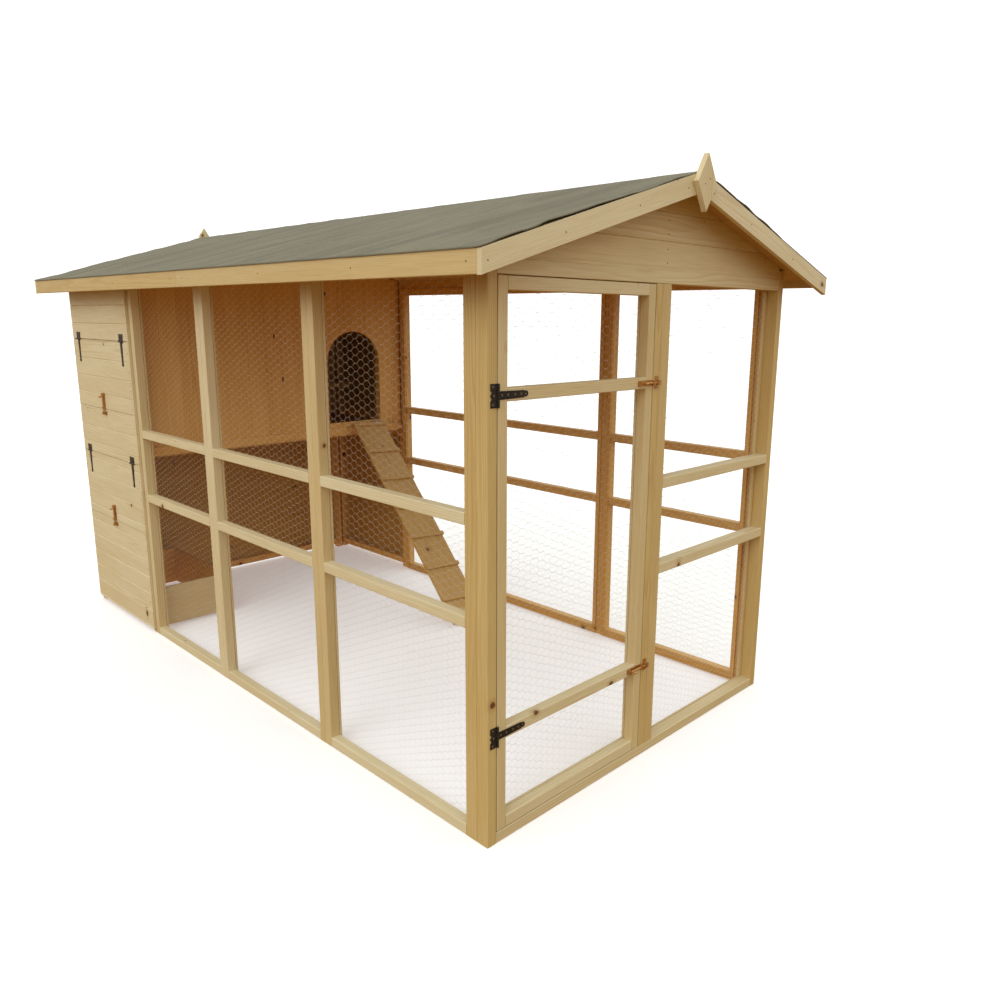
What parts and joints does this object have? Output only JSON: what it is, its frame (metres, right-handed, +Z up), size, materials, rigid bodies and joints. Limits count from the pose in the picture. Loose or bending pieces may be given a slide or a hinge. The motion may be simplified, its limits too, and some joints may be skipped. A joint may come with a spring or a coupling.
{
  "type": "chicken coop",
  "caption": "Walk-in wooden chicken coop: mesh-panelled run with a mesh door, raised boarded hen house with two lift-up flaps, pop hole with cleated ramp, felted apex roof.",
  "frame": {"origin": "the point on the ground under the middle of the coop's bounding box", "axes": "+Z up, +Y along the ridge from the door gable to the hen house, +X to the right seen from the door gable"},
  "size_m": [1.775, 3.2618, 1.955],
  "materials": {
    "pine": "pressure-treated planed pine, golden with small knots",
    "pine_rough": "rougher sawn pine boarding, in shade",
    "felt": "grey-green mineral bitumen roofing felt",
    "wire_mesh": "galvanised hexagonal wire netting",
    "black_steel": "black powder-coated steel",
    "brassed_steel": "brass-coloured plated steel, slightly tarnished"
  },
  "bodies": {
    "coop": {"front_gable_frame": "pine", "front_gable_boards": "pine", "left_run_frame": "pine", "right_run_frame": "pine", "left_house_frame": "pine", "right_house_frame": "pine", "back_gable_frame": "pine", "back_gable_boards": "pine", "left_house_boards": "pine", "right_house_boards": "pine", "house_front_frame": "pine", "house_front_boards": "pine", "threshold_rail": "pine", "house_floor": "pine_rough", "floor_bearers": "pine_rough", "perch": "pine", "dust_bath_box": "pine", "left_run_mesh": "wire_mesh", "right_run_mesh": "wire_mesh", "front_bay_mesh": "wire_mesh", "left_run_beading": "pine", "right_run_beading": "pine", "front_bay_beading": "pine", "roof_bearers": "pine", "roof_boards": "pine_rough", "roof_felt": "felt", "fascia_boards": "pine", "barge_boards": "pine", "finials": "pine", "hinge_plates": "black_steel", "hinge_pins": "black_steel", "plate_screws": "black_steel", "bolt_keeps": "brassed_steel", "ramp_pivot": "black_steel"},
    "door": {"door_frame": "pine", "door_mesh": "wire_mesh", "door_beading": "pine", "door_hinge_straps": "black_steel", "door_strap_screws": "black_steel", "door_bolt_bodies": "brassed_steel"},
    "door_upper_bolt": {"upper_bolt_rod": "brassed_steel"},
    "door_lower_bolt": {"lower_bolt_rod": "brassed_steel"},
    "upper_flap": {"upper_flap": "pine", "upper_flap_straps": "black_steel", "upper_flap_screws": "black_steel", "upper_flap_bolt_body": "brassed_steel"},
    "upper_flap_bolt": {"upper_flap_bolt_rod": "brassed_steel"},
    "lower_flap": {"lower_flap": "pine", "lower_flap_straps": "black_steel", "lower_flap_screws": "black_steel", "lower_flap_bolt_body": "brassed_steel"},
    "lower_flap_bolt": {"lower_flap_bolt_rod": "brassed_steel"},
    "ramp": {"ramp_board": "pine", "ramp_cleats": "pine", "ramp_knuckles": "black_steel"}
  },
  "joints": [
    {"name": "door_swing", "type": "hinge", "parent": "coop", "child": "door", "pos_m": [-0.727, -1.5062, 0.8115], "axis": [0, 0, -1], "range_deg": [0, 115]},
    {"name": "door_upper_bolt_slide", "type": "slide", "parent": "door", "child": "door_upper_bolt", "axis": [1, 0, 0], "range_m": [0, 0.038]},
    {"name": "door_lower_bolt_slide", "type": "slide", "parent": "door", "child": "door_lower_bolt", "axis": [1, 0, 0], "range_m": [0, 0.038]},
    {"name": "upper_flap_lift", "type": "hinge", "parent": "coop", "child": "upper_flap", "pos_m": [-0.7782, 1.1445, 1.3625], "axis": [0, 1, 0], "range_deg": [0, 145]},
    {"name": "upper_flap_bolt_slide", "type": "slide", "parent": "upper_flap", "child": "upper_flap_bolt", "axis": [0, 0, -1], "range_m": [0, 0.038]},
    {"name": "lower_flap_lift", "type": "hinge", "parent": "coop", "child": "lower_flap", "pos_m": [-0.7782, 1.1445, 0.8075], "axis": [0, 1, 0], "range_deg": [0, 165]},
    {"name": "lower_flap_bolt_slide", "type": "slide", "parent": "lower_flap", "child": "lower_flap_bolt", "axis": [0, 0, -1], "range_m": [0, 0.038]},
    {"name": "ramp_lift", "type": "hinge", "parent": "coop", "child": "ramp", "pos_m": [0.475, 0.7785, 0.9], "axis": [-1, 0, 0], "range_deg": [0, 80]}
  ]
}
